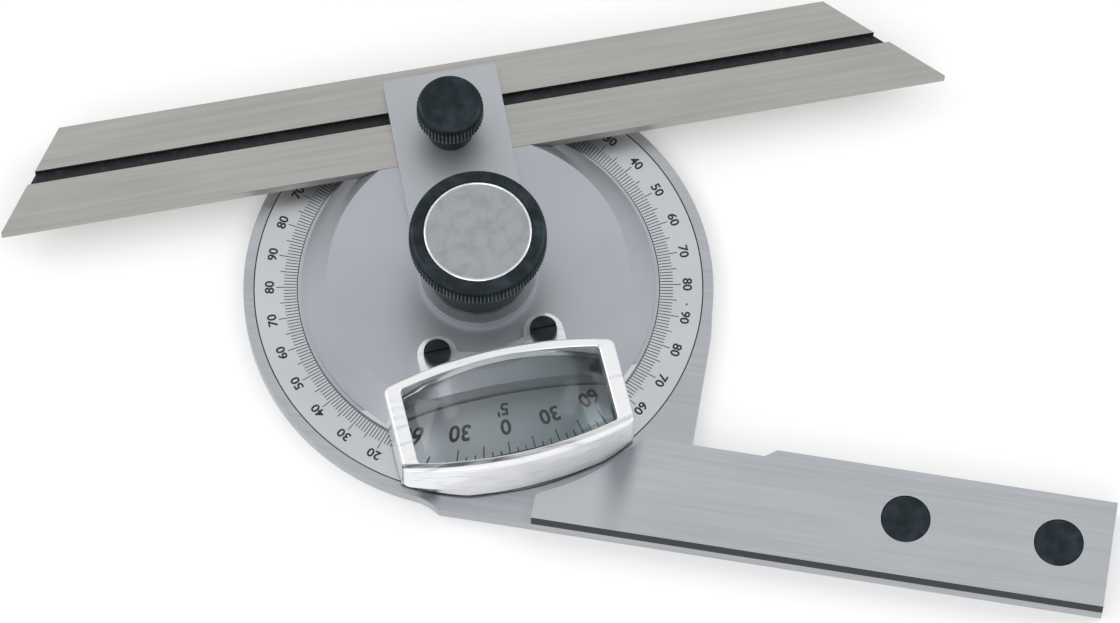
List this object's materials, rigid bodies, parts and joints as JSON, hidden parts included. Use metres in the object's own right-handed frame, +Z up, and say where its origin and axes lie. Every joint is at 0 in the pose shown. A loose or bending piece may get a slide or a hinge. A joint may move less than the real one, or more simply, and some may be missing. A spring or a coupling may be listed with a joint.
{
  "type": "angle_finder",
  "caption": "Stainless universal bevel protractor with a fixed stock, a sliding grooved blade, a magnified vernier and two knurled clamp knobs",
  "frame": {"origin": "where the swivel axis meets the flat back on which the tool lies", "axes": "+X runs along the stock to its free end, +Y away from the stock's measuring edge, and +Z up out of the dial along the swivel axis"},
  "size_m": [0.1771, 0.0935, 0.0229],
  "materials": {
    "ground_steel": "fine ground grain along the stock",
    "satin_steel": "matt satin",
    "satin_chrome": "satin chrome with black divisions",
    "blade_steel": "ground along the length, black groove",
    "black_steel": "black oxide, fine knurls",
    "dark_steel": "plain turned steel",
    "bright_chrome": "bright polished chrome",
    "bright_inlay": "bright disc with fine scratches",
    "bronze": "plain bearing bronze",
    "lens_glass": "clear, faintly green"
  },
  "bodies": {
    "stock": {"body_plate": "ground_steel", "stock_rail": "ground_steel", "stock_studs": "black_steel", "rail_screws": "dark_steel", "dial_ring": "satin_chrome", "dial_screws": "dark_steel", "hub_bush": "bronze"},
    "turret": {"turret_disc": "satin_steel", "vernier_plate": "satin_chrome", "vernier_screws": "dark_steel", "blade_arm": "satin_steel", "arm_screws": "dark_steel", "guide_key": "dark_steel", "thread_boss": "black_steel", "clamp_bolt": "dark_steel", "lens_frame": "bright_chrome", "lens_screws": "black_steel", "lens": "lens_glass"},
    "washer": {"thrust_washer": "dark_steel"},
    "clamp": {"clamp_knob": "black_steel", "knob_insert": "bronze", "knob_cap": "bright_inlay"},
    "blade": {"blade": "blade_steel"},
    "pad": {"pressure_pad": "bronze"},
    "blade_clamp": {"blade_knob": "black_steel", "blade_screw": "dark_steel"}
  },
  "joints": [
    {"name": "turret_swivel", "type": "hinge", "parent": "stock", "child": "turret", "pos_m": [0, 0, 0], "axis": [0, 0, 1], "continuous": true},
    {"name": "clamp_knob_lift", "type": "slide", "parent": "turret", "child": "washer", "axis": [0, 0, 1], "range_m": [0, 0.00075]},
    {"name": "clamp_knob_turn", "type": "hinge", "parent": "washer", "child": "clamp", "pos_m": [0, 0, 0.01], "axis": [0, 0, 1], "range_deg": [0, 270]},
    {"name": "blade_slide", "type": "slide", "parent": "turret", "child": "blade", "axis": [0.9397, 0.342, 0], "range_m": [-0.06, 0.056]},
    {"name": "blade_pad_lift", "type": "slide", "parent": "turret", "child": "pad", "axis": [0, 0, 1], "range_m": [0, 0.0007]},
    {"name": "blade_knob_turn", "type": "hinge", "parent": "pad", "child": "blade_clamp", "pos_m": [-0.00831, 0.02283, 0.0115], "axis": [0, 0, 1], "range_deg": [0, 360]}
  ],
  "couplings": [
    {"joint": "clamp_knob_turn", "follows": "clamp_knob_lift", "rad_per_m": 6283.2},
    {"joint": "blade_knob_turn", "follows": "blade_pad_lift", "rad_per_m": 8976}
  ]
}
